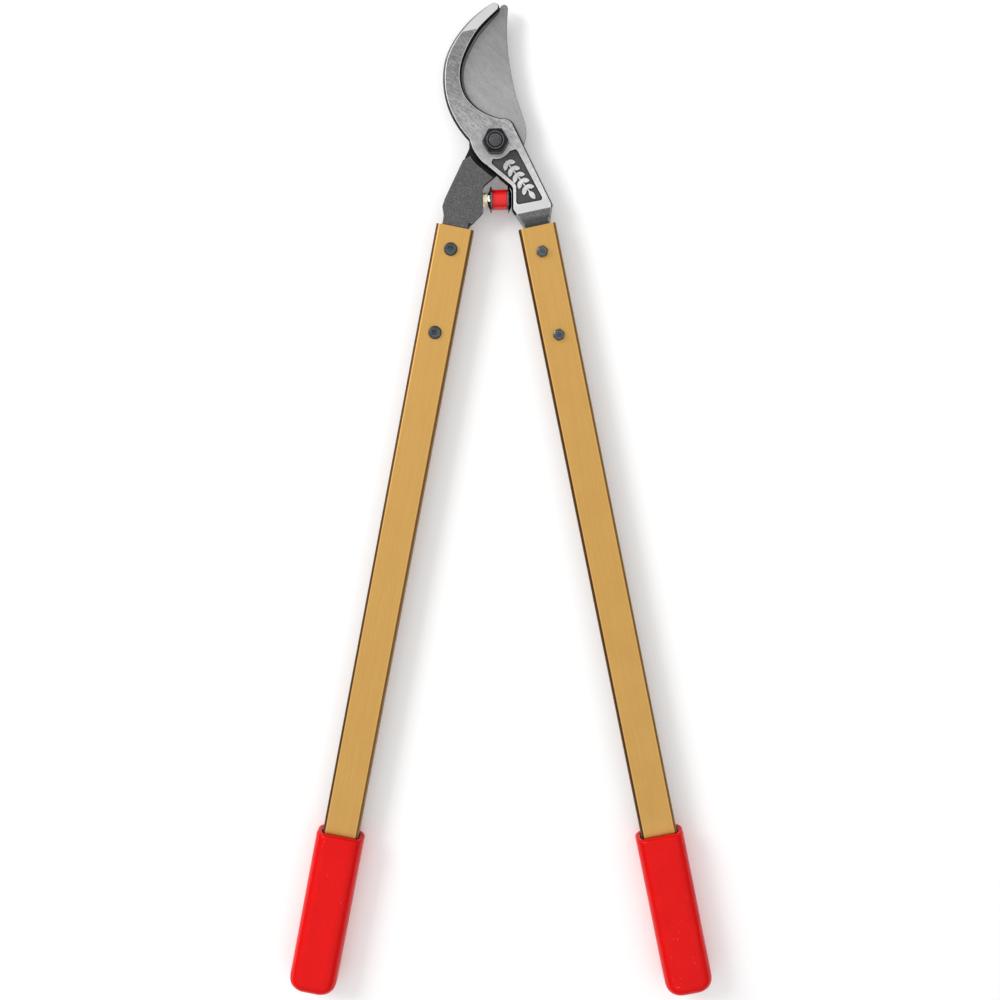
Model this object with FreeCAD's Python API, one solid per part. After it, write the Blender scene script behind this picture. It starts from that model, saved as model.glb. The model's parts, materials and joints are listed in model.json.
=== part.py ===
import FreeCAD, Part
import math
import os

Vector = FreeCAD.Vector

# Bypass loppers, lying flat on the back: X to the right, Y from the grips to the blade tips, Z up.
# Everything is first built about the pivot, which stands on Z at x = 0, y = 0, with the shear
# plane between the two blades at z = 0. The whole tool is then shifted so that its origin is the
# middle of the underside of its box. Lengths are millimetres, angles are degrees.

# handles
handle_angle = 11.4
handle_offset = 19.0
tube_start = 70.5
tube_length = 642.0
tube_width = 30.0
tube_depth = 18.0
tube_wall = 2.0
tube_corner = 3.0

# grips
grip_side_wall = 5.0
grip_face_wall = 6.0
grip_corner = 10.5
grip_overlap = 131.0
grip_end_wall = 11.5
grip_end_length = 16.0
grip_end_fullness = 2.8
grip_lip_round = 2.2
grip_mouth_gap = 0.9
grip_mouth_depth = 10.0

# hook and blade
hook_thickness = 8.0
blade_thickness = 7.0
shear_gap = 0.05
hook_hub_radius = 19.4
hook_edge_angle = -39.2
hook_back_angle = 171.0
hook_under_top = -12.0
blade_hub_radius = 21.5
hub_clearance = 3.4
hook_recess_clearance = 5.5
opening_angle = 35.0
stop_clearance = 2.0
edge_round = 0.5
draft_width = 1.4
draft_height = 6.0
cutting_land = 0.6
cutting_bevel = 13.0
bevel_run_out = 0.2
hook_tip_x = -21.0
hook_tip_line = 85.0
hook_tip_turn = 12.0
hook_lip = 1.0
hook_lip_land = 1.0
hook_lip_height = 3.2
hook_tip_angle = 6.5

# tangs, in the tubes
tang_width = 21.0
tang_length = 98.0
tang_clearance = 0.2
tang_ramp = 12.5
tang_chamfer = 2.0

# badge panel on the hook's shank
panel_depth = 0.9
panel_pivot_radius = 13.2
sprig_height = 0.6
sprig_pairs = 5

# pivot
pivot_diameter = 12.0
pivot_clearance = 0.05
pivot_flat_margin = 3.0
pivot_nut_turn = 1.0
pivot_head_turn = 12.0
pivot_head_height = 7.0
pivot_washer_margin = 6.0
pivot_washer_thickness = 1.0
pivot_nut_height = 9.5
pivot_crown_height = 2.5
pivot_crown_wall = 0.8
pivot_insert_ring = 0.6

# handle screws and nuts
screw_diameter = 5.0
screw_clearance = 0.2
screw_head_diameter = 9.8
screw_head_height = 5.0
screw_head_clearance = 0.35
screw_socket_flats = 5.0
screw_socket_depth = 2.8
screw_socket_turn = 20.0
screw_end = 0.4
left_screw_from_end = 18.0
right_screw_from_end = 20.4
screw_spacing = 67.0
nut_flats = 8.0
nut_turn = 10.0
nut_height = 3.6
nut_crown_height = 1.4
nut_crown_wall = 0.6
nut_insert_ring = 0.6

# bumper, whose axis lies on X
bumper_y = -44.0
shank_flat_x = -10.5
stop_flat_x = 12.6
stop_gap = 0.3
stud_diameter = 6.0
stud_depth = 10.0
stud_in_rubber = 6.0
lock_nut_flats = 10.0
lock_nut_height = 4.2
lock_nut_turn = 20.0
cup_diameter = 21.0
cup_height = 3.0
cup_thickness = 1.2
cup_hub_diameter = 11.0
cup_rim = 1.1
rubber_diameter = 16.0

# derived sizes
angle = math.radians(handle_angle)
tube_end = tube_start + tube_length
tube_half_depth = tube_depth / 2
tang_half_width = tang_width / 2
tang_half_depth = tube_half_depth - tube_wall - tang_clearance
tang_end = tube_start + tang_length
grip_width = tube_width + 2 * grip_side_wall
grip_depth = tube_depth + 2 * grip_face_wall
rest_level = -grip_depth / 2
pivot_flats = pivot_diameter + 2 * pivot_flat_margin
pivot_washer_diameter = pivot_diameter + 2 * pivot_washer_margin
pivot_insert_diameter = pivot_diameter + 2 * pivot_insert_ring
pivot_crown_diameter = pivot_insert_diameter + 2 * pivot_crown_wall
nut_insert_diameter = screw_diameter + 2 * nut_insert_ring
nut_crown_diameter = nut_insert_diameter + 2 * nut_crown_wall
shank_recess_radius = hook_hub_radius + hub_clearance
hook_recess_radius = blade_hub_radius + hook_recess_clearance
hook_hub_end = hook_edge_angle - 90.0
hook_hub_middle = -147.0
ramp_start = tube_start - tang_ramp


def at(point, z=0.0):
    """A vector from an (x, y) pair."""
    return Vector(point[0], point[1], z)


def polar(radius, degrees):
    """The point at a radius and an angle about the pivot."""
    turn = math.radians(degrees)
    return (radius * math.cos(turn), radius * math.sin(turn))


def handle_point(side, across, along):
    """A point on a handle: side is 1 on the right and -1 on the left, across is from its axis."""
    x = (handle_offset + across) * math.cos(angle) + along * math.sin(angle)
    y = (handle_offset + across) * math.sin(angle) - along * math.cos(angle)
    return (side * x, y)


def line(start, end):
    return Part.LineSegment(at(start), at(end)).toShape()


def arc(start, middle, end):
    return Part.Arc(at(start), at(middle), at(end)).toShape()


def curve(points):
    """A smooth curve through the points."""
    spline = Part.BSplineCurve()
    spline.interpolate([at(point) for point in points])
    return spline.toShape()


def rounded_corner(before, corner, after):
    """The start, middle and end of the arc that rounds a corner (x, y, radius)."""
    here = at(corner)
    back = (at(before) - here).normalize()
    ahead = (at(after) - here).normalize()
    half = back.getAngle(ahead) / 2
    reach = corner[2] / math.tan(half)
    inward = (back + ahead).normalize()
    middle = here + inward * (corner[2] / math.sin(half) - corner[2])
    return here + back * reach, middle, here + ahead * reach


def chain(corners):
    """Lines through the corners, rounded at each (x, y, radius) between the first and last."""
    edges = []
    start = at(corners[0])
    for before, corner, after in zip(corners, corners[1:], corners[2:]):
        arrive, middle, leave = rounded_corner(before, corner, after)
        edges.append(Part.LineSegment(start, arrive).toShape())
        edges.append(Part.Arc(arrive, middle, leave).toShape())
        start = leave
    edges.append(Part.LineSegment(start, at(corners[-1])).toShape())
    return edges


def slab(edges, bottom, top):
    """A plate with the closed outline of the edges."""
    face = Part.Face(Part.Wire(Part.__sortEdges__(edges)))
    plate = face.extrude(Vector(0, 0, top - bottom))
    plate.translate(Vector(0, 0, bottom))
    return plate


def rounded_slab(corners, bottom, top):
    """A plate whose outline is a closed loop of (x, y, radius) corners."""
    first = corners[0]
    last = corners[-1]
    middle = ((first[0] + last[0]) / 2, (first[1] + last[1]) / 2)
    return slab(chain([middle] + list(corners) + [middle]), bottom, top)


def bar_outline(width, depth, corner, along):
    """The outline of a rounded bar's section, centred on the axis, at a distance along -Y."""
    half_width = width / 2
    half_depth = depth / 2
    top = (0, half_depth)
    corners = [
        top,
        (-half_width, half_depth, corner),
        (-half_width, -half_depth, corner),
        (half_width, -half_depth, corner),
        (half_width, half_depth, corner),
        top,
    ]
    outline = Part.Wire(chain(corners))
    outline.rotate(Vector(0, 0, 0), Vector(1, 0, 0), 90)
    outline.translate(Vector(0, -along, 0))
    return outline


def bar(width, depth, corner, start, end):
    """A rounded bar along -Y, from one distance to another."""
    return Part.Face(bar_outline(width, depth, corner, start)).extrude(Vector(0, start - end, 0))


def disc(diameter, bottom, top, centre=(0, 0)):
    return Part.makeCylinder(diameter / 2, top - bottom, at(centre, bottom))


def turned(profile, axis):
    """A solid of revolution about the origin's axis, from closed profile corners."""
    face = Part.Face(Part.makePolygon(profile + [profile[0]]))
    return face.revolve(Vector(0, 0, 0), axis, 360)


def hexagon(flats, bottom, top, turn=0.0):
    """A hexagonal prism with one corner on X before it is turned."""
    radius = flats / math.sqrt(3)
    corners = [at(polar(radius, turn + 60 * i), bottom) for i in range(7)]
    return Part.Face(Part.makePolygon(corners)).extrude(Vector(0, 0, top - bottom))


def chamfered_hexagon(flats, bottom, top, turn=0.0):
    """A hexagon whose corners are turned down at both ends, as on a nut or a bolt head."""
    radius = flats / math.sqrt(3)
    inner = flats / 2 * 0.96
    drop = (radius - inner) * math.tan(math.radians(30))
    profile = [
        Vector(0, 0, bottom),
        Vector(inner, 0, bottom),
        Vector(radius, 0, bottom + drop),
        Vector(radius, 0, top - drop),
        Vector(inner, 0, top),
        Vector(0, 0, top),
    ]
    return hexagon(flats, bottom, top, turn).common(turned(profile, Vector(0, 0, 1)))


def on_handle(shape, side):
    """Puts a shape built along -Y on the handle of one side."""
    placed = shape.copy()
    placed.rotate(Vector(0, 0, 0), Vector(0, 0, 1), side * handle_angle)
    centre = (side * handle_offset * math.cos(angle), handle_offset * math.sin(angle))
    placed.translate(at(centre))
    return placed


def screw_places(side):
    """Distances of the two screws of a handle along its axis."""
    upper = tube_start + (right_screw_from_end if side > 0 else left_screw_from_end)
    return {"upper": upper, "lower": upper + screw_spacing}


def cut_tang(shape, side):
    """Takes the ramp down to the tang, its chamfers and its screw holes out of a shank."""
    reach = tang_end + 5.0
    high = hook_thickness + 2.0
    ramp = Part.makePolygon([
        Vector(0, -ramp_start, hook_thickness),
        Vector(0, -tube_start + 1.0, tang_half_depth),
        Vector(0, -reach, tang_half_depth),
        Vector(0, -reach, high),
        Vector(0, -ramp_start, high),
        Vector(0, -ramp_start, hook_thickness),
    ])
    wedge = Part.Face(ramp).extrude(Vector(2 * tang_width, 0, 0))
    wedge.translate(Vector(-tang_width, 0, 0))
    shape = shape.cut(on_handle(wedge, side))
    for edge_side in (-1, 1):
        for face_side in (-1, 1):
            groove = Part.makeBox(2 * tang_chamfer, tang_length + 10.0, 2 * tang_chamfer)
            groove.translate(Vector(-tang_chamfer, 0, -tang_chamfer))
            groove.rotate(Vector(0, 0, 0), Vector(0, 1, 0), 45)
            corner = Vector(edge_side * tang_half_width, -tang_end - 5.0, face_side * tang_half_depth)
            groove.translate(corner + Vector(edge_side, 0, face_side) * (tang_chamfer / 2))
            shape = shape.cut(on_handle(groove, side))
    for along in screw_places(side).values():
        hole = disc(screw_diameter + 2 * screw_clearance, -tube_depth, tube_depth, (0, -along))
        shape = shape.cut(on_handle(hole, side))
    return shape


def hook_outline():
    """The hook with its shank and tang, as seen from the front."""
    nose_start = (-2.85, 106.63)
    nose_end = (2.3, 100.25)
    heel = (4.2, 18.6)
    cusp = (-21.3, 1.8)
    hub_end = polar(hook_hub_radius, hook_hub_end)
    slope = math.tan(math.radians(hook_edge_angle))
    flat_top = hub_end[1] + (stop_flat_x - hub_end[0]) * slope
    back = curve([cusp, (-29.6, 12.0), (-38.1, 29.0), (-41.2, 47.0), (-39.2, 64.5), (-30.0, 82.3),
                  (-18.5, 95.0), nose_start])
    nose = arc(nose_start, (2.1, 106.41), nose_end)
    inner = curve([nose_end, (-6.0, 92.3), (-13.2, 84.4), (-20.0, 73.4), (-25.1, 61.4), (-26.5, 48.0),
                   (-22.5, 35.3), (-12.6, 25.5), (-4.2, 21.2), heel])
    shank = chain([
        heel,
        (11.9, 19.0, 8.5),
        (45.2, -48.3, 3.0),
        handle_point(1, tang_half_width, tube_start) + (4.0,),
        handle_point(1, tang_half_width, tang_end) + (2.0,),
        handle_point(1, -tang_half_width, tang_end) + (2.0,),
        handle_point(1, -tang_half_width, tube_start - 2.0) + (5.0,),
        (stop_flat_x, -52.5, 4.0),
        (stop_flat_x, flat_top, 5.0),
        hub_end,
    ])
    hub = arc(hub_end, polar(hook_hub_radius - 0.3, hook_hub_middle), cusp)
    return [back, nose, inner] + shank + [hub], inner


def leaf(length, width):
    """One leaf of the badge, lying along X from the origin."""
    upper = arc((0, 0), (length * 0.45, width / 2), (length, 0))
    lower = arc((length, 0), (length * 0.45, -width / 2), (0, 0))
    return slab([upper, lower], 0, sprig_height)


def sprig():
    """The raised sprig of leaves on the floor of the badge panel."""
    start = (8.2, -14.8)
    end = (30.0, -42.8)
    length = math.dist(start, end)
    direction = math.degrees(math.atan2(end[1] - start[1], end[0] - start[0]))
    pieces = []
    stem = Part.makeBox(length - 3.0, 1.0, sprig_height, Vector(0, -0.5, 0))
    pieces.append(stem)
    for i in range(sprig_pairs):
        for way in (-1, 1):
            blade_leaf = leaf(7.2, 3.6)
            blade_leaf.rotate(Vector(0, 0, 0), Vector(0, 0, 1), way * 48)
            blade_leaf.translate(Vector(0.5 + i * length / (sprig_pairs + 0.9), 0, 0))
            pieces.append(blade_leaf)
    end_leaf = leaf(7.8, 4.0)
    end_leaf.translate(Vector(length - 6.0, 0, 0))
    pieces.append(end_leaf)
    whole = pieces[0].multiFuse(pieces[1:])
    whole.rotate(Vector(0, 0, 0), Vector(0, 0, 1), direction)
    whole.translate(at(start, hook_thickness - panel_depth))
    return whole


def badge_panel():
    """The sunk panel beside the pivot nut, concentric with it at the top."""
    floor = hook_thickness - panel_depth
    top = hook_thickness + 1.0
    corners = [
        (16.5, -5.4, 2.2),
        (37.7, -45.0, 2.0),
        (16.1, -48.8, 2.2),
        (16.1, -33.0, 5.0),
        (-3.6, -16.4, 2.0),
        (-1.4, -11.0, 1.0),
    ]
    panel = rounded_slab(corners, floor, top)
    return panel.cut(disc(2 * panel_pivot_radius, floor, top))


def front_edges(shape, level):
    """The outline edges of the flat face at a level."""
    edges = []
    for edge in shape.Edges:
        ends = [vertex.Point.z for vertex in edge.Vertexes]
        middle = edge.valueAt((edge.FirstParameter + edge.LastParameter) / 2)
        if all(abs(z - level) < 1e-6 for z in ends + [middle.z]):
            edges.append(edge)
    return edges


def lip_width(share):
    """The lip's width along the hook's inner edge, fading out at both ends."""
    return 0.05 + hook_lip * min(1.0, 0.3 + 5.0 * share, 3.0 * (1.0 - share))


def hook_lip_solid(edge):
    """The lip that the hook's inner wall carries at the shear plane, where it holds the branch."""
    count = 20
    sections = []
    for i in range(count + 1):
        share = i / count
        place = edge.FirstParameter + share * (edge.LastParameter - edge.FirstParameter)
        tangent = edge.tangentAt(place)
        outward = Vector(-tangent.y, tangent.x, 0)
        point = edge.valueAt(place)
        inside = point - outward * (draft_width + 0.5)
        corner = point + outward * lip_width(share)
        corners = [
            inside + Vector(0, 0, shear_gap),
            corner + Vector(0, 0, shear_gap),
            corner + Vector(0, 0, shear_gap + hook_lip_land),
            inside + Vector(0, 0, hook_lip_height),
        ]
        sections.append(Part.makePolygon(corners + corners[:1]))
    return Part.makeLoft(sections, True, False)


def make_hook():
    outline, inner = hook_outline()
    plate = slab(outline, shear_gap, hook_thickness)
    plate = plate.makeChamfer(draft_height, draft_width, front_edges(plate, hook_thickness))
    plate = plate.makeFillet(edge_round, front_edges(plate, hook_thickness))
    plate = plate.fuse(hook_lip_solid(inner))
    under = slab(outline, -tang_half_depth, shear_gap)
    low = Part.makeBox(200, 400, 40, Vector(-100, hook_under_top - 400, -20))
    under = under.common(low).cut(disc(2 * hook_recess_radius, -20, 20))
    shape = plate.fuse(under)
    facet = Part.makeBox(120, 80, 20)
    facet.rotate(Vector(0, 0, 0), Vector(1, 0, 0), -hook_tip_angle)
    facet.translate(Vector(-60, 0, 0))
    facet.rotate(Vector(0, 0, 0), Vector(0, 0, 1), hook_tip_turn)
    facet.translate(Vector(hook_tip_x, hook_tip_line, hook_thickness))
    shape = shape.cut(facet)
    shape = cut_tang(shape, 1)
    shape = shape.cut(badge_panel()).fuse(sprig())
    return shape.cut(disc(pivot_diameter, -20, 20)).removeSplitter()


def blade_outline():
    """The blade with its shank and tang, as seen from the front."""
    tip_right = (10.3, 103.2)
    tip_left = (4.2, 103.8)
    heel = (-18.5, 23.0)
    hub_bottom = polar(blade_hub_radius, -75)
    spine_start = polar(blade_hub_radius, -12)
    tip = arc(tip_right, (7.4, 106.2), tip_left)
    edge = curve([tip_left, (-12.4, 96.0), (-24.6, 80.8), (-31.6, 64.0), (-32.5, 47.8), (-27.0, 31.9),
                  heel])
    shank = chain([
        heel,
        (-21.0, 14.0, 4.0),
        (-21.0, -4.0, 6.0),
        (-40.4, -43.2, 6.0),
        (-42.6, -49.5, 4.0),
        handle_point(-1, tang_half_width, tube_start - 7.0) + (4.0,),
        handle_point(-1, tang_half_width, tang_end) + (2.0,),
        handle_point(-1, -tang_half_width, tang_end) + (2.0,),
        handle_point(-1, -tang_half_width, tube_start - 2.0) + (5.0,),
        (shank_flat_x, -54.0, 4.0),
        (shank_flat_x, -33.6, 5.0),
        hub_bottom,
    ])
    hub = arc(hub_bottom, polar(blade_hub_radius, -40), spine_start)
    spine = curve([spine_start, (23.5, 2.5), (24.3, 9.5), (22.7, 17.5), (18.2, 30.3), (12.9, 51.5),
                   (9.8, 74.0), tip_right])
    return [tip, edge] + shank + [hub, spine], edge


def shank_mask():
    """Where the blade's shank stands above the shear plane, clear of the hook over the travel."""
    wall = hook_back_angle + opening_angle + stop_clearance
    inner = polar(shank_recess_radius, wall)
    outer = polar(60.0, wall)
    tangent = polar(shank_recess_radius, hook_hub_end)
    middle = polar(shank_recess_radius, (wall - 360 + hook_hub_end) / 2)
    run = math.radians(hook_edge_angle)
    far = (tangent[0] + 60.0 * math.cos(run), tangent[1] + 60.0 * math.sin(run))
    bottom = -tang_end - 20.0
    edges = [
        arc(inner, middle, tangent),
        line(tangent, far),
        line(far, (far[0], bottom)),
        line((far[0], bottom), (-tang_end, bottom)),
        line((-tang_end, bottom), (-tang_end, outer[1])),
        line((-tang_end, outer[1]), outer),
        line(outer, inner),
    ]
    return slab(edges, -20, 20)


def ground_bevel(edge):
    """What grinding takes off the back of the cutting edge, running out towards the heel."""
    outside = 1.0
    inside = 1.5
    count = 14
    sections = []
    for i in range(-1, count + 1):
        share = max(i, 0) / count
        place = edge.FirstParameter + share * (edge.LastParameter - edge.FirstParameter)
        tangent = edge.tangentAt(place)
        inward = Vector(-tangent.y, tangent.x, 0)
        point = edge.valueAt(place) + tangent * min(i, 0) * 8.0
        fade = min(1.0, (1.02 - share) / bevel_run_out)
        width = cutting_bevel * fade
        depth = (blade_thickness - shear_gap - cutting_land) * fade
        slope = depth / width
        high = depth + slope * outside - blade_thickness
        low = -blade_thickness - slope * inside
        top = point - inward * outside + Vector(0, 0, high)
        foot = point - inward * outside + Vector(0, 0, low)
        far = point + inward * (width + inside) + Vector(0, 0, low)
        sections.append(Part.makePolygon([top, foot, far, top]))
    return Part.makeLoft(sections, True, False)


def make_blade():
    outline, edge = blade_outline()
    plate = slab(outline, -blade_thickness, -shear_gap)
    plate = plate.cut(ground_bevel(edge))
    thick = slab(outline, -tang_half_depth, tang_half_depth).common(shank_mask())
    shape = plate.fuse(thick)
    relief = Part.makeBox(4 * tang_width, tang_length + 10.0, 10.0)
    relief.translate(Vector(-2 * tang_width, -tang_end - 5.0, -tang_half_depth - 10.0))
    shape = shape.cut(on_handle(relief, -1))
    shape = cut_tang(shape, -1)
    bore = pivot_diameter + 2 * pivot_clearance
    shape = shape.cut(disc(bore, -20, 20))
    socket = Part.makeCylinder(stud_diameter / 2, stud_depth, Vector(shank_flat_x, bumper_y, 0),
                               Vector(-1, 0, 0))
    return shape.cut(socket).removeSplitter()


def make_pivot():
    """Bolt, washer, nut and the nut's nylon ring."""
    washer_top = -blade_thickness - shear_gap
    head_top = washer_top - (pivot_washer_thickness - shear_gap)
    head_bottom = head_top - pivot_head_height
    nut_top = hook_thickness + pivot_nut_height
    bolt_end = nut_top + pivot_crown_height
    radius = pivot_diameter / 2
    shank = turned([
        Vector(0, 0, head_top),
        Vector(radius, 0, head_top),
        Vector(radius, 0, bolt_end - 1.2),
        Vector(radius - 1.2, 0, bolt_end),
        Vector(0, 0, bolt_end),
    ], Vector(0, 0, 1))
    bolt = chamfered_hexagon(pivot_flats, head_bottom, head_top, pivot_head_turn).fuse(shank).removeSplitter()
    washer = disc(pivot_washer_diameter, head_top, washer_top).cut(disc(pivot_diameter, -20, 20))
    crown = disc(pivot_crown_diameter, nut_top, bolt_end)
    crown = crown.makeFillet(0.6, front_edges(crown, bolt_end))
    nut = chamfered_hexagon(pivot_flats, hook_thickness, nut_top, pivot_nut_turn).fuse(crown)
    nut = nut.cut(disc(pivot_insert_diameter, nut_top, 40)).cut(disc(pivot_diameter, -20, 40))
    insert = disc(pivot_insert_diameter, nut_top, bolt_end - 0.3).cut(disc(pivot_diameter, -20, 40))
    return {"pivot_bolt": bolt, "pivot_washer": washer, "pivot_nut": nut.removeSplitter(),
            "pivot_nut_insert": insert}


def make_cup():
    """A dished washer about X: hub face at x = 0, rim at x = cup_height, open towards +X."""
    hub = cup_hub_diameter / 2
    rim = cup_diameter / 2
    bore = stud_diameter / 2
    return turned([
        Vector(0, bore, 0),
        Vector(0, hub, 0),
        Vector(cup_height - cup_rim, rim - 0.3, 0),
        Vector(cup_height - cup_rim + 0.3, rim, 0),
        Vector(cup_height, rim, 0),
        Vector(cup_height, rim - 1.0, 0),
        Vector(cup_thickness, hub - 0.6, 0),
        Vector(cup_thickness, bore, 0),
    ], Vector(1, 0, 0))


def make_bumper():
    """Stud, lock nut, rubber and its two cups, between the shank's flat and the hook's."""
    nut_end = shank_flat_x + lock_nut_height
    far_face = stop_flat_x - stop_gap
    lock_nut = chamfered_hexagon(lock_nut_flats, 0, lock_nut_height, lock_nut_turn)
    lock_nut.rotate(Vector(0, 0, 0), Vector(0, 1, 0), 90)
    lock_nut.translate(Vector(shank_flat_x, 0, 0))
    stud_end = nut_end + cup_thickness + stud_in_rubber
    stud_start = shank_flat_x - stud_depth
    radius = stud_diameter / 2
    stud = Part.makeCylinder(radius, stud_end - stud_start, Vector(stud_start, 0, 0), Vector(1, 0, 0))
    inner_cup = make_cup()
    inner_cup.translate(Vector(nut_end, 0, 0))
    outer_cup = make_cup()
    outer_cup.rotate(Vector(0, 0, 0), Vector(0, 0, 1), 180)
    outer_cup.translate(Vector(far_face, 0, 0))
    plug = Part.makeCylinder(radius, cup_thickness, Vector(far_face - cup_thickness, 0, 0),
                             Vector(1, 0, 0))
    outer_cup = outer_cup.fuse(plug).removeSplitter()
    rubber_start = nut_end + cup_thickness
    rubber_length = far_face - cup_thickness - rubber_start
    rubber = Part.makeCylinder(rubber_diameter / 2, rubber_length, Vector(rubber_start, 0, 0),
                               Vector(1, 0, 0))
    rubber = rubber.cut(inner_cup).cut(outer_cup).cut(stud)
    rubber = max(rubber.Solids, key=lambda solid: solid.Volume)
    pieces = {"bumper_stud": stud, "bumper_lock_nut": lock_nut.cut(stud),
              "bumper_inner_cup": inner_cup, "bumper_rubber": rubber, "bumper_outer_cup": outer_cup}
    for piece in pieces.values():
        piece.translate(Vector(0, bumper_y, 0))
    return pieces


def make_tube(side, head_side):
    """A handle tube along -Y. Screw heads go through its wall on head_side, 1 front or -1 back."""
    inner_width = tube_width - 2 * tube_wall
    inner_depth = tube_depth - 2 * tube_wall
    tube = bar(tube_width, tube_depth, tube_corner, tube_start, tube_end)
    tube = tube.cut(bar(inner_width, inner_depth, tube_corner - tube_wall, tube_start - 1, tube_end + 1))
    for along in screw_places(side).values():
        shank = disc(screw_diameter + 2 * screw_clearance, -tube_depth, tube_depth, (0, -along))
        head = disc(screw_head_diameter + 2 * screw_head_clearance, 0, tube_depth, (0, -along))
        if head_side < 0:
            head = head.mirror(Vector(0, 0, 0), Vector(0, 0, 1))
        tube = tube.cut(shank).cut(head)
    return tube


def grip_end(start, end):
    """The grip's full, crowned end: sections of its bar that close in as a quarter of an oval."""
    last = 0.985
    sections = []
    for share in (0.0, 0.2, 0.4, 0.55, 0.7, 0.8, 0.88, 0.94, last):
        size = (1 - share ** grip_end_fullness) ** (1 / grip_end_fullness)
        along = start + (end - start) * share / last
        sections.append(bar_outline(grip_width * size, grip_depth * size, grip_corner * size, along))
    return Part.makeLoft(sections, True, False)


def make_grip():
    """A dipped grip along -Y, closed at the end, with a slightly flared mouth round the tube."""
    start = tube_end - grip_overlap
    end = tube_end + grip_end_wall
    end_start = end - grip_end_length
    grip = bar(grip_width, grip_depth, grip_corner, start, end_start)
    lip = [edge for edge in grip.Edges if edge.BoundBox.YMin > -start - 1e-6]
    grip = grip.makeFillet(grip_lip_round, lip).fuse(grip_end(end_start, end)).removeSplitter()
    grip = grip.cut(bar(tube_width, tube_depth, tube_corner, start - 1, tube_end))
    wide = bar_outline(tube_width + 2 * grip_mouth_gap, tube_depth + grip_mouth_gap, tube_corner + 1, start)
    narrow = bar_outline(tube_width, tube_depth, tube_corner, start + grip_mouth_depth)
    return grip.cut(Part.makeLoft([wide, narrow], True, True))


def make_screw():
    """A socket-head screw on Z: the head's seat at z = 0, the shank below."""
    length = tang_half_depth + tube_half_depth + nut_height + nut_crown_height + screw_end
    head = disc(screw_head_diameter, 0, screw_head_height)
    head = head.makeFillet(0.5, front_edges(head, screw_head_height))
    socket = hexagon(screw_socket_flats, screw_head_height - screw_socket_depth, screw_head_height + 1,
                     screw_socket_turn)
    return head.cut(socket).fuse(disc(screw_diameter, -length, 0)).removeSplitter()


def make_nut():
    """A locking nut and its nylon ring on Z: the seat at z = 0, the nut below."""
    crown = disc(nut_crown_diameter, -nut_height - nut_crown_height, -nut_height)
    crown = crown.makeFillet(0.4, front_edges(crown, -nut_height - nut_crown_height))
    nut = chamfered_hexagon(nut_flats, -nut_height, 0, nut_turn).fuse(crown)
    nut = nut.cut(disc(nut_insert_diameter, -40, -nut_height)).cut(disc(screw_diameter, -40, 40))
    ring = disc(nut_insert_diameter, -nut_height - nut_crown_height + 0.2, -nut_height)
    return nut.removeSplitter(), ring.cut(disc(screw_diameter, -40, 40))


def make_handle(name, side, head_side):
    """Tube, grip, screws and nuts of one handle."""
    nodes = {name + "_handle_tube": make_tube(side, head_side), name + "_grip": make_grip()}
    rings = []
    for place, along in screw_places(side).items():
        screw = make_screw()
        nut, ring = make_nut()
        screw.translate(Vector(0, -along, tang_half_depth))
        nut.translate(Vector(0, -along, -tube_half_depth))
        ring.translate(Vector(0, -along, -tube_half_depth))
        if head_side < 0:
            mirrored = [piece.mirror(Vector(0, 0, 0), Vector(0, 0, 1)) for piece in (screw, nut, ring)]
            screw, nut, ring = mirrored
        nodes[name + "_" + place + "_screw"] = screw
        nodes[name + "_" + place + "_nut"] = nut
        rings.append(ring)
    nodes[name + "_nut_rings"] = Part.makeCompound(rings)
    return {node: on_handle(shape, side) for node, shape in nodes.items()}


def build():
    nodes = {"hook": make_hook(), "blade": make_blade()}
    nodes.update(make_pivot())
    nodes.update(make_bumper())
    nodes.update(make_handle("left", -1, 1))
    nodes.update(make_handle("right", 1, -1))
    return nodes


def main():
    os.makedirs("parts", exist_ok=True)
    nodes = build()
    box = Part.makeCompound(list(nodes.values())).optimalBoundingBox(False, False)
    shift = Vector(0, -round((box.YMin + box.YMax) / 2, 1), -rest_level)
    print("box", box)
    print("pivot at", shift)
    for node, shape in nodes.items():
        placed = shape.copy()
        placed.translate(shift)
        if not placed.isValid():
            print("INVALID", node)
        placed.exportStep("parts/" + node + ".step")


main()
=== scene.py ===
import bpy
import json
import math
from mathutils import Matrix, Vector


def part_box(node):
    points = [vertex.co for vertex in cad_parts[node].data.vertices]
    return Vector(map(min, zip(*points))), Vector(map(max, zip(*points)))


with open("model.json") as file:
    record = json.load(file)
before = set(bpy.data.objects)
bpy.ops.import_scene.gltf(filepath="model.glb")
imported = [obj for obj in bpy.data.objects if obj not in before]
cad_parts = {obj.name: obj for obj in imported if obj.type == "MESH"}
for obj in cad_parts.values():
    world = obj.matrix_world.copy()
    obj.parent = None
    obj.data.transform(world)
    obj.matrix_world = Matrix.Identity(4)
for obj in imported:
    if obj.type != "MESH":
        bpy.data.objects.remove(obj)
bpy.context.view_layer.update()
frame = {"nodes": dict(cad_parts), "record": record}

MM = 0.001

# the pivot and the hook's front face, from the frame
joint = frame["record"]["behaviour"]["joints"][0]
PIVOT = Vector(joint["pos_m"])
HOOK_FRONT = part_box("pivot_nut")[0][2]

# the slope of the handles, and distances from the pivot along them
HANDLE_SLOPE = math.radians(11.4)
HANDLE_FOOT = 58.0 * MM
STRIP_START = 49.5 * MM
STRIP_END = 51.5 * MM

# heights of the sunk panel on the hook, and where it ends
PANEL_FLOOR = HOOK_FRONT - 0.9 * MM
SPRIG_TOP = HOOK_FRONT - 0.3 * MM
PANEL_LIMIT = PIVOT.y + 20.0 * MM

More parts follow.
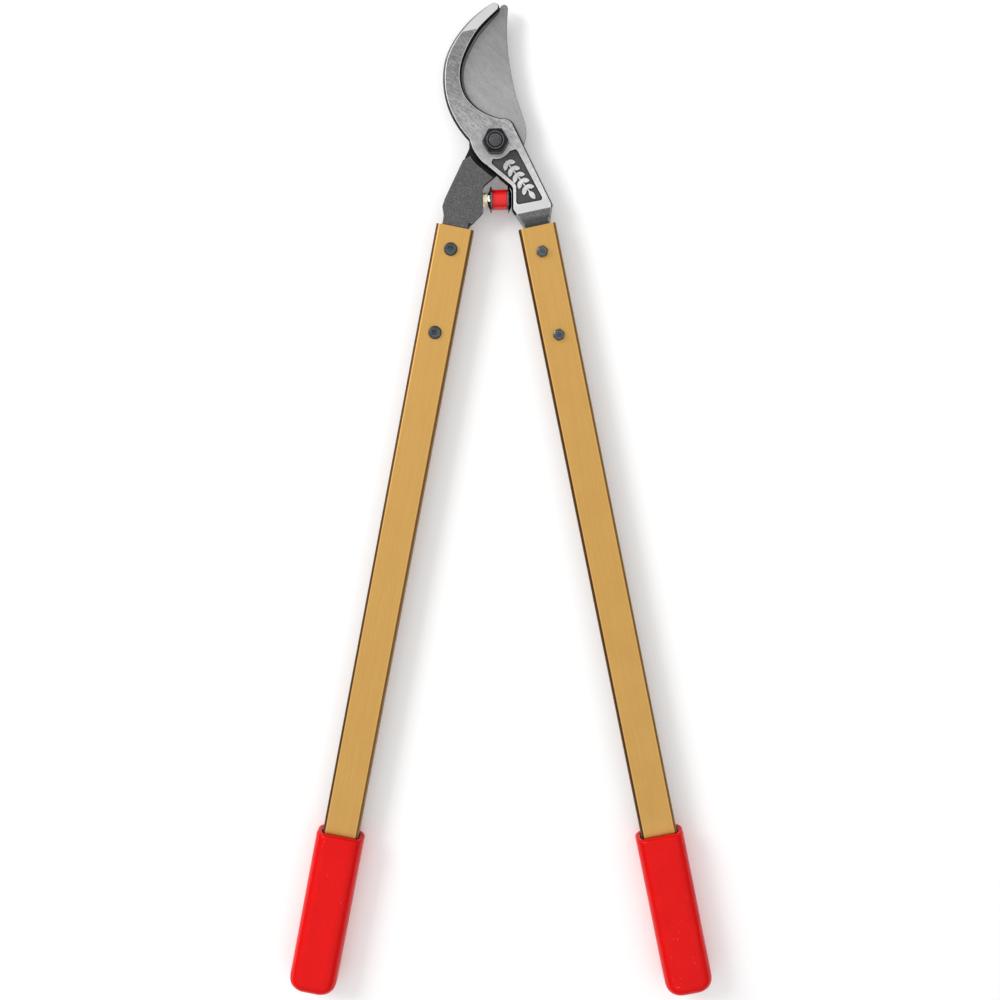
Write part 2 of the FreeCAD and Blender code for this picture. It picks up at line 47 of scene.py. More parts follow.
# where the finish of the hook changes
ARM_MIDDLE = PIVOT.y + 62.0 * MM
HUB_TOP = PIVOT.y + 8.0 * MM
HUB_MIDDLE = PIVOT.y - 2.0 * MM
SHANK_FOOT = PIVOT.y - 50.0 * MM
HUB_RIGHT_START = PIVOT.x + 2.0 * MM
HUB_RIGHT_END = PIVOT.x + 18.0 * MM
CALM_START = PIVOT.y + 10.0 * MM
CALM_END = PIVOT.y - 15.0 * MM
RIM_BOTTOM = HOOK_FRONT - 0.7 * MM
LIP_TOP = HOOK_FRONT - 1.5 * MM

# where the finish of the blade changes
BLADE_TIP = PIVOT.y + 100.0 * MM
BLADE_HEEL = PIVOT.y + 15.0 * MM
BLADE_SHANK_TOP = PIVOT.y + 1.0 * MM
BLADE_SHANK_RIGHT = PIVOT.x + 12.0 * MM
RECESS_FLOOR = PIVOT.z + 0.5 * MM
SPINE_LEFT = PIVOT.x + 7.0 * MM

# steel tones, as base colour
ARM_TONE = 0.250
HEEL_TONE = 0.395
SHANK_TONE = 0.62
STRIP_TONE = 0.66
TIP_TONE = 0.64
LIP_TONE = 0.24
BLADE_TIP_TONE = 0.277
BLADE_HEEL_TONE = 0.392
# near-black painted shade on the side walls
WALL_SHADE_TONE = 0.006
# the dark of grime and of painted shade in corners
GRIME_AND_SHADE_TONE = 0.01
WORN_TONE = 0.72
# painted white highlight along the hook's front edge
RIM_HIGHLIGHT_TONE = 0.92

# directions of the grinding, in degrees
HOOK_GRAIN = 38
BLADE_GRAIN = 42

# stage, light and camera
FLOOR_HALF = 6.0
FLOOR_DROP = 0.2 * MM
FLOOR_TONE = 0.93
FLOOR_GLOW = 0.12
DOME_LOW = 0.06
DOME_HIGH = 0.95
BACKDROP_TONE = 0.86
CAMERA_PLACE = Vector((18.1, -159.3, 1088.4)) * MM
CAMERA_AIM = Vector((1.84, -284.8, 0.0)) * MM
CAMERA_ROLL = 0.0056
CAMERA_LENS = 48.24
CAMERA_SENSOR = 36.0


# ---------------------------------------------------------------- node helpers

def put(tree, kind, inputs=None, **settings):
    """Adds a node, with its settings and what feeds its inputs: sockets are linked, values set."""
    made = tree.nodes.new(kind)
    for name, value in settings.items():
        setattr(made, name, value)
    for name, value in (inputs or {}).items():
        socket = made.inputs[name]
        if isinstance(value, bpy.types.NodeSocket):
            tree.links.new(value, socket)
        else:
            socket.default_value = value
    return made


def calc(tree, operation, first, second=0.0):
    made = put(tree, "ShaderNodeMath", {0: first, 1: second}, operation=operation)
    return made.outputs[0]


def product(tree, result, *factors):
    """Multiplies a value by each of the others in turn."""
    for factor in factors:
        result = calc(tree, "MULTIPLY", result, factor)
    return result


def blend_colour(tree, share, first, second):
    return put(tree, "ShaderNodeMix", {0: share, 6: first, 7: second}, data_type="RGBA").outputs[2]


def blend_value(tree, share, first, second):
    return put(tree, "ShaderNodeMix", {0: share, 2: first, 3: second}, data_type="FLOAT").outputs[0]


def rise(tree, value, low, high, start=0.0, end=1.0):
    """Goes smoothly from start to end as value goes from low to high."""
    fit = {"Value": value, "From Min": low, "From Max": high, "To Min": start, "To Max": end}
    return put(tree, "ShaderNodeMapRange", fit, interpolation_type="SMOOTHSTEP").outputs["Result"]


def separate(tree, vector):
    return put(tree, "ShaderNodeSeparateXYZ", {0: vector}).outputs


def local_place(tree):
    return put(tree, "ShaderNodeTexCoord").outputs["Object"]


def local_normal(tree):
    return put(tree, "ShaderNodeTexCoord").outputs["Normal"]


def noise(tree, vector, scale, detail=2.0, roughness=0.5):
    fit = {"Vector": vector, "Scale": scale, "Detail": detail, "Roughness": roughness}
    return put(tree, "ShaderNodeTexNoise", fit).outputs[0]


def new_group(name, inputs, outputs):
    """A shader node group with float or colour sockets, and its input and output nodes."""
    tree = bpy.data.node_groups.new(name, "ShaderNodeTree")
    for label, value in inputs.items():
        kind = "NodeSocketColor" if isinstance(value, tuple) else "NodeSocketFloat"
        socket = tree.interface.new_socket(label, in_out="INPUT", socket_type=kind)
        socket.default_value = value
    for label, kind in outputs.items():
        tree.interface.new_socket(label, in_out="OUTPUT", socket_type=kind)
    return tree, tree.nodes.new("NodeGroupInput").outputs, tree.nodes.new("NodeGroupOutput").inputs


def use(tree, group, **inputs):
    """Places a group, with its inputs, and gives its outputs."""
    made = tree.nodes.new("ShaderNodeGroup")
    made.node_tree = group
    for name, value in inputs.items():
        socket = made.inputs[name.replace("_", " ").capitalize()]
        if isinstance(value, bpy.types.NodeSocket):
            tree.links.new(value, socket)
        else:
            socket.default_value = value
    return made.outputs


# ------------------------------------------------------------- shared effects

def make_grain_group():
    """Parallel grinding or extrusion lines: stretched noise in two sizes, in the XY plane."""
    tree, given, result = new_group(
        "grinding grain",
        {"Angle": 0.0, "Lines": 900.0, "Stretch": 12.0},
        {"Height": "NodeSocketFloat", "Patches": "NodeSocketFloat"},
    )
    place = local_place(tree)
    turned = put(tree, "ShaderNodeVectorRotate", {"Vector": place, "Angle": given["Angle"]},
                 rotation_type="Z_AXIS").outputs[0]
    parts = separate(tree, turned)
    slow = calc(tree, "DIVIDE", given["Lines"], given["Stretch"])
    along = calc(tree, "MULTIPLY", parts[0], slow)
    across = calc(tree, "MULTIPLY", parts[1], given["Lines"])
    deep = calc(tree, "MULTIPLY", parts[2], given["Lines"])
    lines = put(tree, "ShaderNodeCombineXYZ", {0: along, 1: across, 2: deep}).outputs[0]
    coarse = noise(tree, lines, 1.0, 3.0, 0.6)
    fine = noise(tree, lines, 3.7, 2.0, 0.5)
    height = blend_value(tree, 0.4, coarse, fine)
    tree.links.new(height, result["Height"])
    patches = noise(tree, lines, 0.12, 3.0, 0.6)
    tree.links.new(patches, result["Patches"])
    return tree


def make_edge_wear_and_painted_light_group():
    """Edges for wear, and for painted shade and painted highlight: where the rounded normal leaves the
    true one, broken up by noise.
    """
    tree, given, result = new_group(
        "edge wear and painted light",
        {"Radius": 0.6 * MM, "Break up": 0.5, "Scale": 900.0},
        {"Mask": "NodeSocketFloat"},
    )
    rounded = put(tree, "ShaderNodeBevel", {"Radius": given["Radius"]}, samples=6).outputs[0]
    true = put(tree, "ShaderNodeNewGeometry").outputs["Normal"]
    fit = {0: rounded, 1: true}
    same = put(tree, "ShaderNodeVectorMath", fit, operation="DOT_PRODUCT").outputs["Value"]
    edge = rise(tree, same, 0.995, 0.86)
    spots = noise(tree, local_place(tree), given["Scale"], 4.0, 0.65)
    broken = rise(tree, spots, 0.35, 0.6)
    held = calc(tree, "SUBTRACT", 1.0, given["Break up"])
    share = calc(tree, "MAXIMUM", broken, held)
    tree.links.new(calc(tree, "MULTIPLY", edge, share), result["Mask"])
    return tree


def make_forge_group():
    """Forging scale: pits, grit and bright flecks."""
    tree, given, result = new_group(
        "forge scale",
        {"Scale": 700.0},
        {"Height": "NodeSocketFloat", "Flecks": "NodeSocketFloat"},
    )
    place = local_place(tree)
    pits = put(tree, "ShaderNodeTexVoronoi", {"Vector": place, "Scale": given["Scale"], "Randomness": 1.0},
               feature="SMOOTH_F1").outputs["Distance"]
    grit = noise(tree, place, given["Scale"], 5.0, 0.7)
    height = blend_value(tree, 0.55, pits, grit)
    tree.links.new(height, result["Height"])
    flecks = noise(tree, place, calc(tree, "MULTIPLY", given["Scale"], 0.8), 2.0, 0.4)
    tree.links.new(rise(tree, flecks, 0.66, 0.74), result["Flecks"])
    return tree


def make_handling_group():
    """Smudges from handling, for roughness and a slight change of tone."""
    tree, given, result = new_group("handling marks", {"Scale": 60.0}, {"Smudges": "NodeSocketFloat"})
    smudges = noise(tree, local_place(tree), given["Scale"], 5.0, 0.6)
    tree.links.new(smudges, result["Smudges"])
    return tree


def make_crevice_shade_group():
    """Grime and painted shade that gather in narrow corners, where the ambient occlusion is low."""
    tree, given, result = new_group("crevice dirt", {"Reach": 1.5 * MM}, {"Mask": "NodeSocketFloat"})
    around = put(tree, "ShaderNodeAmbientOcclusion", {"Distance": given["Reach"]}, samples=8)
    tree.links.new(rise(tree, around.outputs["AO"], 0.95, 0.45), result["Mask"])
    return tree


GRAIN = make_grain_group()
EDGE_WEAR_AND_PAINTED_LIGHT = make_edge_wear_and_painted_light_group()
FORGE = make_forge_group()
HANDLING = make_handling_group()
CREVICE_SHADE = make_crevice_shade_group()


# ------------------------------------------------------------------ materials

def grey(level):
    """A grey that is the same all over."""
    return (level, level, level, 1.0)


def grey_of(tree, tone):
    """A grey whose level changes over the surface."""
    return put(tree, "ShaderNodeCombineColor", {0: tone, 1: tone, 2: tone}).outputs[0]


def cover(tree, below, above, mask, strength):
    """Lays one colour over another where a mask is, up to a strength."""
    return blend_colour(tree, calc(tree, "MULTIPLY", mask, strength), below, above)


def shader(name, **settings):
    """A material and its Principled shader, with constants set on the shader's own sockets."""
    made = bpy.data.materials.new(name)
    made.use_nodes = True
    tree = made.node_tree
    principled = tree.nodes["Principled BSDF"]
    for label, value in settings.items():
        principled.inputs[label.replace("_", " ")].default_value = value
    return made, tree, principled.inputs


def set_bump(tree, inputs, height, strength, distance):
    """Bumps a shader's normal; the distance is the full depth, in metres."""
    bump = put(tree, "ShaderNodeBump", {"Height": height, "Strength": strength, "Distance": distance})
    tree.links.new(bump.outputs[0], inputs["Normal"])


def hook_zones(tree):
    """Masks of the hook's tang, panel floor and side walls, from place and normal."""
    place = separate(tree, local_place(tree))
    normal = separate(tree, local_normal(tree))
    x = calc(tree, "MULTIPLY", place[0], math.sin(HANDLE_SLOPE))
    y = calc(tree, "MULTIPLY", calc(tree, "SUBTRACT", place[1], PIVOT.y), -math.cos(HANDLE_SLOPE))
    along = calc(tree, "ADD", x, y)
    tang = rise(tree, along, HANDLE_FOOT, HANDLE_FOOT + 0.6 * MM)
    sunk = rise(tree, place[2], SPRIG_TOP - 0.1 * MM, PANEL_FLOOR + 0.15 * MM)
    deep = rise(tree, place[2], PANEL_FLOOR - 0.4 * MM, PANEL_FLOOR - 0.2 * MM)
    below = rise(tree, place[1], PANEL_LIMIT, PANEL_LIMIT - 1.0 * MM)
    wall = rise(tree, calc(tree, "ABSOLUTE", normal[2]), 0.45, 0.25)
    floor = product(tree, sunk, deep, below)
    return tang, floor, wall, along


def front_edge_highlight(tree):
    """Mask of the painted highlight along the round of the hook's front edge."""
    height = separate(tree, local_place(tree))[2]
    facing = separate(tree, local_normal(tree))[2]
    near_front = rise(tree, height, RIM_BOTTOM, RIM_BOTTOM + 0.1 * MM)
    return product(tree, rise(tree, facing, 0.985, 0.93), rise(tree, facing, 0.35, 0.5), near_front)


def lip_slope(tree):
    """Mask of the slope from the hook's inner wall down to its lip."""
    height = separate(tree, local_place(tree))[2]
    facing = separate(tree, local_normal(tree))[2]
    low = rise(tree, height, LIP_TOP, LIP_TOP - 0.2 * MM)
    return product(tree, rise(tree, facing, 0.985, 0.95), rise(tree, facing, 0.35, 0.5), low)


def tip_facet(tree):
    """Mask of the ground facet that slopes down to the hook's tip."""
    normal = separate(tree, local_normal(tree))
    slope = rise(tree, normal[1], 0.06, 0.10)
    facing = rise(tree, normal[2], 0.975, 0.985)
    return calc(tree, "MULTIPLY", slope, facing)


def make_hook_steel():
    """Forged, then ground on its faces: slanting grain, side walls painted near-black as shade, a painted
    white highlight along the front edge, painted panel.
    """
    made, tree, inputs = shader("hook_ground_steel")
    tang, floor, wall, along = hook_zones(tree)
    x, y = separate(tree, local_place(tree))[0:2]
    grain = use(tree, GRAIN, angle=math.radians(HOOK_GRAIN), lines=950.0, stretch=6.0)
    cross = use(tree, GRAIN, angle=math.radians(HOOK_GRAIN - 90), lines=1300.0, stretch=12.0)
    scale = use(tree, FORGE, scale=900.0)
    marks = use(tree, HANDLING, scale=55.0)
    # painted shade, with some grime: corners and the sunk panel's edges are darkened
    dirt_and_shade = use(tree, CREVICE_SHADE, reach=1.3 * MM)["Mask"]
    panel_edge_shade = rise(tree, use(tree, CREVICE_SHADE, reach=6.0 * MM)["Mask"], 0.0, 0.3)
    dirt_and_shade = calc(tree, "MAXIMUM", dirt_and_shade, calc(tree, "MULTIPLY", panel_edge_shade, floor))
    edge = use(tree, EDGE_WEAR_AND_PAINTED_LIGHT, radius=0.6 * MM, break_up=0.35, scale=500.0)["Mask"]
    rim_highlight = front_edge_highlight(tree)
    # the arm is ground darker than the shank, and the tip is polished
    tone = rise(tree, y, ARM_MIDDLE, HUB_MIDDLE, ARM_TONE, HEEL_TONE)
    tone = blend_value(tree, rise(tree, y, HUB_TOP, SHANK_FOOT), tone, SHANK_TONE)
    right = rise(tree, x, HUB_RIGHT_START, HUB_RIGHT_END, 1.0, 1.22)
    lines = rise(tree, grain["Height"], 0.39, 0.61, 0.70, 1.32)
    lines = blend_value(tree, rise(tree, y, CALM_START, CALM_END, 0.0, 0.65), lines, 1.0)
    crossed = rise(tree, cross["Height"], 0.38, 0.62, 0.88, 1.12)
    patches = rise(tree, grain["Patches"], 0.35, 0.65, 0.96, 1.04)
    tone = product(tree, tone, right, lines, crossed, patches)
    strip = rise(tree, along, STRIP_START, STRIP_END)
    tone = blend_value(tree, calc(tree, "MULTIPLY", strip, 0.7), tone, STRIP_TONE)
    tone = blend_value(tree, tip_facet(tree), tone, TIP_TONE)
    tone = blend_value(tree, lip_slope(tree), tone, LIP_TONE)
    skin = rise(tree, scale["Height"], 0.3, 0.62, 0.18, 0.33)
    skin = blend_value(tree, scale["Flecks"], skin, 0.42)
    # the forged skin is darker on the flat than on the ramp
    facing = separate(tree, local_normal(tree))[2]
    skin = product(tree, skin, rise(tree, facing, 0.96, 0.999, 1.3, 0.5))
    paint = blend_colour(tree, rise(tree, scale["Height"], 0.2, 0.7), grey(0.045), grey(0.075))
    # side walls painted near-black as shade
    colour = blend_colour(tree, wall, grey_of(tree, tone), grey(WALL_SHADE_TONE))
    colour = blend_colour(tree, tang, colour, grey_of(tree, skin))
    colour = blend_colour(tree, floor, colour, paint)
    colour = cover(tree, colour, grey(WORN_TONE), edge, 0.6)
    # painted white highlight along the front edge; it is made less metallic below so it stays white
    colour = cover(tree, colour, grey(RIM_HIGHLIGHT_TONE), rim_highlight, 0.9)
    # painted shade and grime darken the corners and the area round the panel
    colour = cover(tree, colour, grey(GRIME_AND_SHADE_TONE), dirt_and_shade, 0.9)
    tree.links.new(colour, inputs["Base Color"])
    rough = rise(tree, marks["Smudges"], 0.3, 0.7, 0.33, 0.45)
    rough = blend_value(tree, calc(tree, "MAXIMUM", tang, floor), rough, 0.58)
    rough = blend_value(tree, calc(tree, "MAXIMUM", dirt_and_shade, wall), rough, 0.75)
    tree.links.new(rough, inputs["Roughness"])
    metal = blend_value(tree, floor, blend_value(tree, tang, 1.0, 0.4), 0.25)
    metal = blend_value(tree, wall, metal, 0.05)
    metal = blend_value(tree, rim_highlight, metal, 0.2)
    tree.links.new(blend_value(tree, dirt_and_shade, metal, 0.2), inputs["Metallic"])
    tree.links.new(blend_value(tree, wall, 0.5, 0.2), inputs["Specular IOR Level"])
    coarse = calc(tree, "MULTIPLY", scale["Height"], calc(tree, "MAXIMUM", tang, floor))
    fine = calc(tree, "MULTIPLY", grain["Height"], 0.3)
    set_bump(tree, inputs, calc(tree, "ADD", coarse, fine), strength=0.35, distance=0.4 * MM)
    return made


def make_blade_steel():
    """Fine-ground blade, with a forged shank below the pivot, and near-black painted shade on its side
    walls and in the recess round the hook.
    """
    made, tree, inputs = shader("blade_ground_steel")
    place = separate(tree, local_place(tree))
    normal = separate(tree, local_normal(tree))
    grain = use(tree, GRAIN, angle=math.radians(BLADE_GRAIN), lines=1500.0, stretch=7.0)
    cross = use(tree, GRAIN, angle=math.radians(BLADE_GRAIN - 90), lines=1700.0, stretch=12.0)
    scale = use(tree, FORGE, scale=1300.0)
    marks = use(tree, HANDLING, scale=40.0)
    dirt_and_shade = use(tree, CREVICE_SHADE, reach=1.6 * MM)["Mask"]
    edge = use(tree, EDGE_WEAR_AND_PAINTED_LIGHT, radius=0.5 * MM, break_up=0.5, scale=500.0)["Mask"]
    shank = rise(tree, place[1], BLADE_SHANK_TOP, BLADE_SHANK_TOP - 2.0 * MM)
    shank = product(tree, shank, rise(tree, place[0], BLADE_SHANK_RIGHT, BLADE_SHANK_RIGHT - 2.0 * MM))
    raised = rise(tree, place[2], RECESS_FLOOR, RECESS_FLOOR + 0.5 * MM)
    sides = rise(tree, calc(tree, "ABSOLUTE", normal[2]), 0.75, 0.4)
    back = rise(tree, normal[2], 0.0, -0.5)
    sunk = calc(tree, "SUBTRACT", 1.0, raised)
    recess = product(tree, shank, sunk, calc(tree, "SUBTRACT", 1.0, back))
    tone = rise(tree, place[1], BLADE_TIP, BLADE_HEEL, BLADE_TIP_TONE, BLADE_HEEL_TONE)
    lines = rise(tree, grain["Height"], 0.36, 0.64, 0.89, 1.11)
    crossed = rise(tree, cross["Height"], 0.35, 0.65, 0.96, 1.04)
    patches = rise(tree, grain["Patches"], 0.35, 0.65, 0.96, 1.04)
    tone = product(tree, tone, lines, crossed, patches)
    forged = blend_colour(tree, rise(tree, scale["Height"], 0.3, 0.62), grey(0.085), grey(0.165))
    forged = blend_colour(tree, scale["Flecks"], forged, grey(0.30))
    spine = rise(tree, place[0], SPINE_LEFT, SPINE_LEFT + 1.0 * MM)
    spine_shade_line = use(tree, EDGE_WEAR_AND_PAINTED_LIGHT, radius=0.9 * MM, break_up=0.0, scale=500.0)["Mask"]
    # painted shade: the side walls are made near-black
    colour = cover(tree, grey_of(tree, tone), grey(0.015), sides, 0.95)
    colour = blend_colour(tree, product(tree, shank, raised), colour, forged)
    # painted shadow of the hook and shank in the recess round the hook
    colour = cover(tree, colour, grey(0.010), recess, 0.95)
    colour = cover(tree, colour, grey(0.5), edge, 0.5)
    # a painted dark line of shade along the spine's front edge
    colour = cover(tree, colour, grey(0.03), product(tree, spine, spine_shade_line), 0.85)
    # painted shade and grime in corners
    colour = cover(tree, colour, grey(GRIME_AND_SHADE_TONE), dirt_and_shade, 0.85)
    tree.links.new(colour, inputs["Base Color"])
    tree.links.new(blend_value(tree, sides, 1.0, 0.3), inputs["Metallic"])
    rough = rise(tree, marks["Smudges"], 0.3, 0.7, 0.36, 0.46)
    tree.links.new(blend_value(tree, shank, rough, 0.6), inputs["Roughness"])
    coarse = calc(tree, "MULTIPLY", scale["Height"], product(tree, shank, raised))
    fine = calc(tree, "MULTIPLY", grain["Height"], 0.2)
    set_bump(tree, inputs, calc(tree, "ADD", coarse, fine), strength=0.4, distance=0.5 * MM)
    return made


def make_hardware(name, base, worn_highlight, roughness, metal, coat=0.0, wear_and_highlight_amount=0.7):
    """Plated or blackened hardware with bright edges, which on the blued cups are painted highlights as
    well as wear.
    """
    made, tree, inputs = shader(name, Coat_Weight=coat, Coat_Roughness=0.12)
    marks = use(tree, HANDLING, scale=150.0)
    edge = use(tree, EDGE_WEAR_AND_PAINTED_LIGHT, radius=0.5 * MM, break_up=0.7, scale=1400.0)["Mask"]
    dirt_and_shade = use(tree, CREVICE_SHADE, reach=0.8 * MM)["Mask"]
    dark = tuple(0.6 * level for level in base[:3]) + (1.0,)
    colour = blend_colour(tree, rise(tree, marks["Smudges"], 0.35, 0.65), base, dark)
    # bright edges: wear, and on the blued cups a painted highlight as well
    colour = cover(tree, colour, worn_highlight, edge, wear_and_highlight_amount)
    # painted shade and grime in corners
    colour = cover(tree, colour, grey(0.006), dirt_and_shade, 0.8)
    tree.links.new(colour, inputs["Base Color"])
    rough = rise(tree, marks["Smudges"], 0.3, 0.7, roughness, roughness + 0.15)
    tree.links.new(rough, inputs["Roughness"])
    inputs["Metallic"].default_value = metal
    set_bump(tree, inputs, marks["Smudges"], strength=0.12, distance=0.3 * MM)
    return made


def make_gold_tube(name, side):
    """Satin gold anodising: lines along the handle, corners darkened by a painted dark reflection, less so
    towards +X, and a painted highlight along the flat faces' edges.
    """
    made, tree, inputs = shader(name)
    flat = calc(tree, "ABSOLUTE", separate(tree, local_normal(tree))[2])
    angle = math.radians(90) - side * HANDLE_SLOPE
    grain = use(tree, GRAIN, angle=angle, lines=1600.0, stretch=90.0)
    marks = use(tree, HANDLING, scale=30.0)
    dirt_and_shade = use(tree, CREVICE_SHADE, reach=1.2 * MM)["Mask"]
    edge = use(tree, EDGE_WEAR_AND_PAINTED_LIGHT, radius=0.5 * MM, break_up=0.8, scale=700.0)["Mask"]
    lines = rise(tree, grain["Height"], 0.3, 0.7)
    gold = blend_colour(tree, lines, (0.61, 0.35, 0.102, 1), (0.69, 0.405, 0.122, 1))
    smudged = rise(tree, marks["Smudges"], 0.3, 0.7, 0.0, 0.35)
    gold = blend_colour(tree, smudged, gold, (0.60, 0.335, 0.092, 1))
    # painted highlight along the edges of the flat faces
    arris_highlight = rise(tree, flat, 0.9998, 0.998)
    gold = cover(tree, gold, (0.80, 0.49, 0.15, 1), arris_highlight, 0.6)
    # painted dark reflection on the corners, lighter towards +X
    corner = rise(tree, flat, 0.985, 0.935)
    corner_shade = blend_colour(tree, lines, (0.075, 0.030, 0.011, 1), (0.12, 0.052, 0.019, 1))
    lit = rise(tree, separate(tree, local_normal(tree))[0], 0.0, 0.2)
    corner_shade = blend_colour(tree, lit, corner_shade, (0.27, 0.14, 0.045, 1))
    gold = cover(tree, gold, corner_shade, corner, 0.97)
    gold = cover(tree, gold, (0.70, 0.52, 0.32, 1), edge, 0.35)
    # painted shade and grime in corners
    gold = cover(tree, gold, (0.03, 0.015, 0.006, 1), dirt_and_shade, 0.8)
    tree.links.new(gold, inputs["Base Color"])
    inputs["Metallic"].default_value = 0.85
    inputs["Specular IOR Level"].default_value = 0.2
    rough = rise(tree, marks["Smudges"], 0.3, 0.7, 0.36, 0.46)
    tree.links.new(rough, inputs["Roughness"])
    set_bump(tree, inputs, grain["Height"], strength=0.08, distance=0.2 * MM)
    return made


def make_red_vinyl():
    """Dipped vinyl: glossy, with a faint orange-peel skin and slow waves."""
    made, tree, inputs = shader("red_dipped_vinyl", Coat_Weight=0.08, Coat_Roughness=0.12, IOR=1.5,
                                Specular_IOR_Level=0.12)
    marks = use(tree, HANDLING, scale=45.0)
    place = local_place(tree)
    waves = noise(tree, place, 38.0, 2.0, 0.5)
    peel = noise(tree, place, 1100.0, 2.0, 0.5)
    specks = rise(tree, noise(tree, place, 420.0, 1.0, 0.4), 0.775, 0.80)
    smudges = rise(tree, marks["Smudges"], 0.3, 0.7)
    colour = blend_colour(tree, smudges, (0.79, 0.0025, 0.0025, 1), (0.74, 0.0015, 0.0015, 1))
    colour = cover(tree, colour, (0.95, 0.25, 0.2, 1), specks, 0.5)
    dirt_and_shade = use(tree, CREVICE_SHADE, reach=1.2 * MM)["Mask"]
    # painted shade and grime in corners
    colour = cover(tree, colour, (0.06, 0.002, 0.002, 1), dirt_and_shade, 0.85)
    tree.links.new(colour, inputs["Base Color"])
    tree.links.new(rise(tree, marks["Smudges"], 0.3, 0.7, 0.26, 0.38), inputs["Roughness"])
    height = calc(tree, "ADD", waves, calc(tree, "MULTIPLY", peel, 0.05))
    set_bump(tree, inputs, height, strength=0.4, distance=1.0 * MM)
    return made


def make_red_rubber():
    """Moulded rubber with a slight sheen."""
    made, tree, inputs = shader("red_bumper_rubber", Coat_Weight=0.12, Coat_Roughness=0.08, IOR=1.5)
    marks = use(tree, HANDLING, scale=120.0)
    smudges = rise(tree, marks["Smudges"], 0.3, 0.7)
    colour = blend_colour(tree, smudges, (0.86, 0.003, 0.003, 1), (0.74, 0.002, 0.002, 1))
    dirt_and_shade = use(tree, CREVICE_SHADE, reach=2.0 * MM)["Mask"]
    # painted shade and grime in corners
    colour = cover(tree, colour, (0.08, 0.004, 0.004, 1), dirt_and_shade, 0.7)
    tree.links.new(colour, inputs["Base Color"])
    tree.links.new(rise(tree, marks["Smudges"], 0.3, 0.7, 0.20, 0.34), inputs["Roughness"])
    pores = noise(tree, local_place(tree), 900.0, 3.0, 0.6)
    set_bump(tree, inputs, pores, strength=0.15, distance=0.3 * MM)
    return made


def make_nylon():
    """Dark nylon of the locking rings."""
    made, tree, inputs = shader("nylon_ring", IOR=1.53)
    marks = use(tree, HANDLING, scale=300.0)
    smudges = rise(tree, marks["Smudges"], 0.3, 0.7)
    colour = blend_colour(tree, smudges, (0.05, 0.07, 0.09, 1), (0.10, 0.12, 0.14, 1))
    tree.links.new(colour, inputs["Base Color"])
    tree.links.new(rise(tree, marks["Smudges"], 0.3, 0.7, 0.4, 0.55), inputs["Roughness"])
    return made


def dress_cad_nodes():
    """Gives every CAD node its finish."""
    black = make_hardware("black_oxide", (0.024, 0.025, 0.027, 1), grey(0.45),
                          roughness=0.28, metal=0.8)
    bolt = make_hardware("worn_bolt_end", (0.115, 0.115, 0.12, 1), grey(0.7),
                         roughness=0.3, metal=0.9)
    # the blued cups' cyan-white edges are painted highlights as well as wear
    blued = make_hardware("blued_plate", (0.05, 0.085, 0.105, 1), (0.65, 0.82, 0.87, 1),
                          roughness=0.13, metal=1.0, coat=0.5, wear_and_highlight_amount=1.0)
    zinc = make_hardware("yellow_zinc", (0.93, 0.86, 0.62, 1), (0.98, 0.96, 0.88, 1),
                         roughness=0.22, metal=1.0)
    screw = make_hardware("dark_zinc", (0.10, 0.12, 0.14, 1), (0.6, 0.65, 0.68, 1),
                          roughness=0.22, metal=1.0)
    vinyl = make_red_vinyl()
    nylon = make_nylon()
    finishes = {
        "hook": make_hook_steel(),
        "blade": make_blade_steel(),
        "pivot_bolt": bolt,
        "pivot_washer": black,
        "pivot_nut": black,
        "pivot_nut_insert": nylon,
        "bumper_stud": black,
        "bumper_lock_nut": zinc,
        "bumper_inner_cup": blued,
        "bumper_outer_cup": blued,
        "bumper_rubber": make_red_rubber(),
        "left_handle_tube": make_gold_tube("gold_tube_left", -1),
        "right_handle_tube": make_gold_tube("gold_tube_right", 1),
        "left_grip": vinyl,
        "right_grip": vinyl,
        "left_nut_rings": nylon,
        "right_nut_rings": nylon,
    }
    for node, thing in frame["nodes"].items():
        finish = finishes.get(node, screw)
        for material_slot in thing.material_slots:
            material_slot.material = finish


# -------------------------------------------------------------- stage and view

def make_floor():
    """A wide pale plane just under the tool."""
    mesh = bpy.data.meshes.new("floor")
    corners = [(-1, -1), (1, -1), (1, 1), (-1, 1)]
    corners = [(FLOOR_HALF * x, FLOOR_HALF * y, 0) for x, y in corners]
    mesh.from_pydata(corners, [], [(0, 1, 2, 3)])
    floor = bpy.data.objects.new("floor", mesh)
    floor.location.z = -FLOOR_DROP
    bpy.context.collection.objects.link(floor)
    finish = shader(
        "pale_floor",
        Base_Color=grey(FLOOR_TONE),
        Roughness=0.9,
        Specular_IOR_Level=0.1,
        Emission_Color=grey(1.0),
        Emission_Strength=FLOOR_GLOW,
    )[0]
    mesh.materials.append(finish)


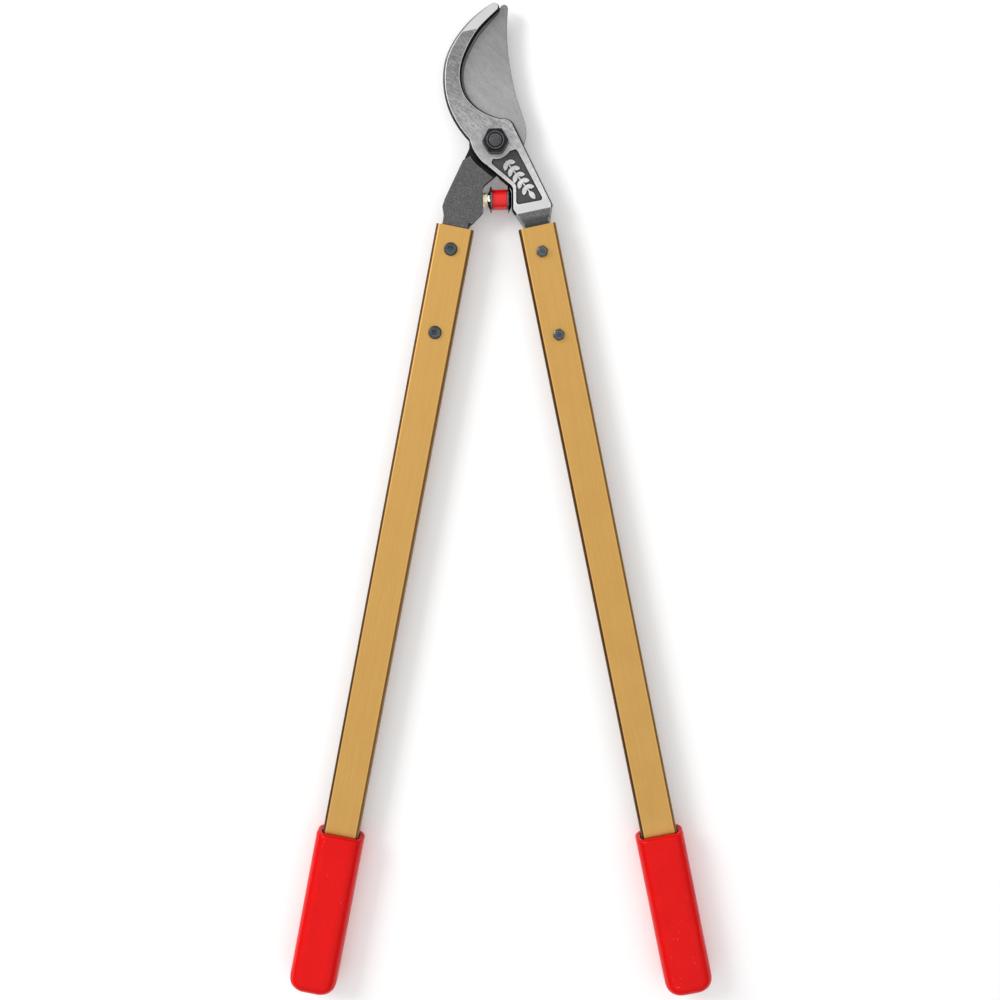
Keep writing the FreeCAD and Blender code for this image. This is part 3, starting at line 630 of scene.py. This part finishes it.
def make_world():
    """A soft dome, bright overhead and dark towards the horizon; the backdrop itself is pale."""
    world = bpy.data.worlds.new("soft dome")
    bpy.context.scene.world = world
    world.use_nodes = True
    tree = world.node_tree
    tree.nodes.clear()
    upward = separate(tree, put(tree, "ShaderNodeTexCoord").outputs["Generated"])[2]
    strength = rise(tree, upward, 0.15, 0.75, DOME_LOW, DOME_HIGH)
    dome = put(tree, "ShaderNodeBackground", {"Color": grey(1.0), "Strength": strength}).outputs[0]
    pale = put(tree, "ShaderNodeBackground", {"Color": grey(BACKDROP_TONE), "Strength": 1.0}).outputs[0]
    seen = put(tree, "ShaderNodeLightPath").outputs["Is Camera Ray"]
    both = put(tree, "ShaderNodeMixShader", {0: seen, 1: dome, 2: pale}).outputs[0]
    put(tree, "ShaderNodeOutputWorld", {"Surface": both})


def make_softbox(name, place, target, size, power):
    """A square area light that faces a target."""
    light = bpy.data.lights.new(name, "AREA")
    light.shape = "SQUARE"
    light.size = size
    light.energy = power
    lamp = bpy.data.objects.new(name, light)
    lamp.location = place
    lamp.rotation_euler = (Vector(target) - Vector(place)).to_track_quat("-Z", "Y").to_euler()
    bpy.context.collection.objects.link(lamp)


def make_camera():
    """Above the tool's middle, a little towards the blades and to the right, looking down."""
    eye = PIVOT + CAMERA_PLACE
    aim = PIVOT + CAMERA_AIM
    forward = (aim - eye).normalized()
    level = forward.cross(Vector((0.0, 1.0, 0.0))).normalized()
    right = Matrix.Rotation(CAMERA_ROLL, 3, forward) @ level
    upward = right.cross(forward)
    lens = bpy.data.cameras.new("camera")
    lens.sensor_width = CAMERA_SENSOR
    lens.lens = CAMERA_LENS
    camera = bpy.data.objects.new("camera", lens)
    camera.location = eye
    camera.rotation_euler = Matrix((right, upward, -forward)).transposed().to_euler()
    bpy.context.collection.objects.link(camera)
    bpy.context.scene.camera = camera


dress_cad_nodes()
make_floor()
make_world()
make_softbox("key softbox", place=(-1.9, 1.1, 1.7), target=(0, 0, 0), size=1.2, power=40.0)
make_camera()
bpy.context.scene.view_settings.view_transform = "Standard"
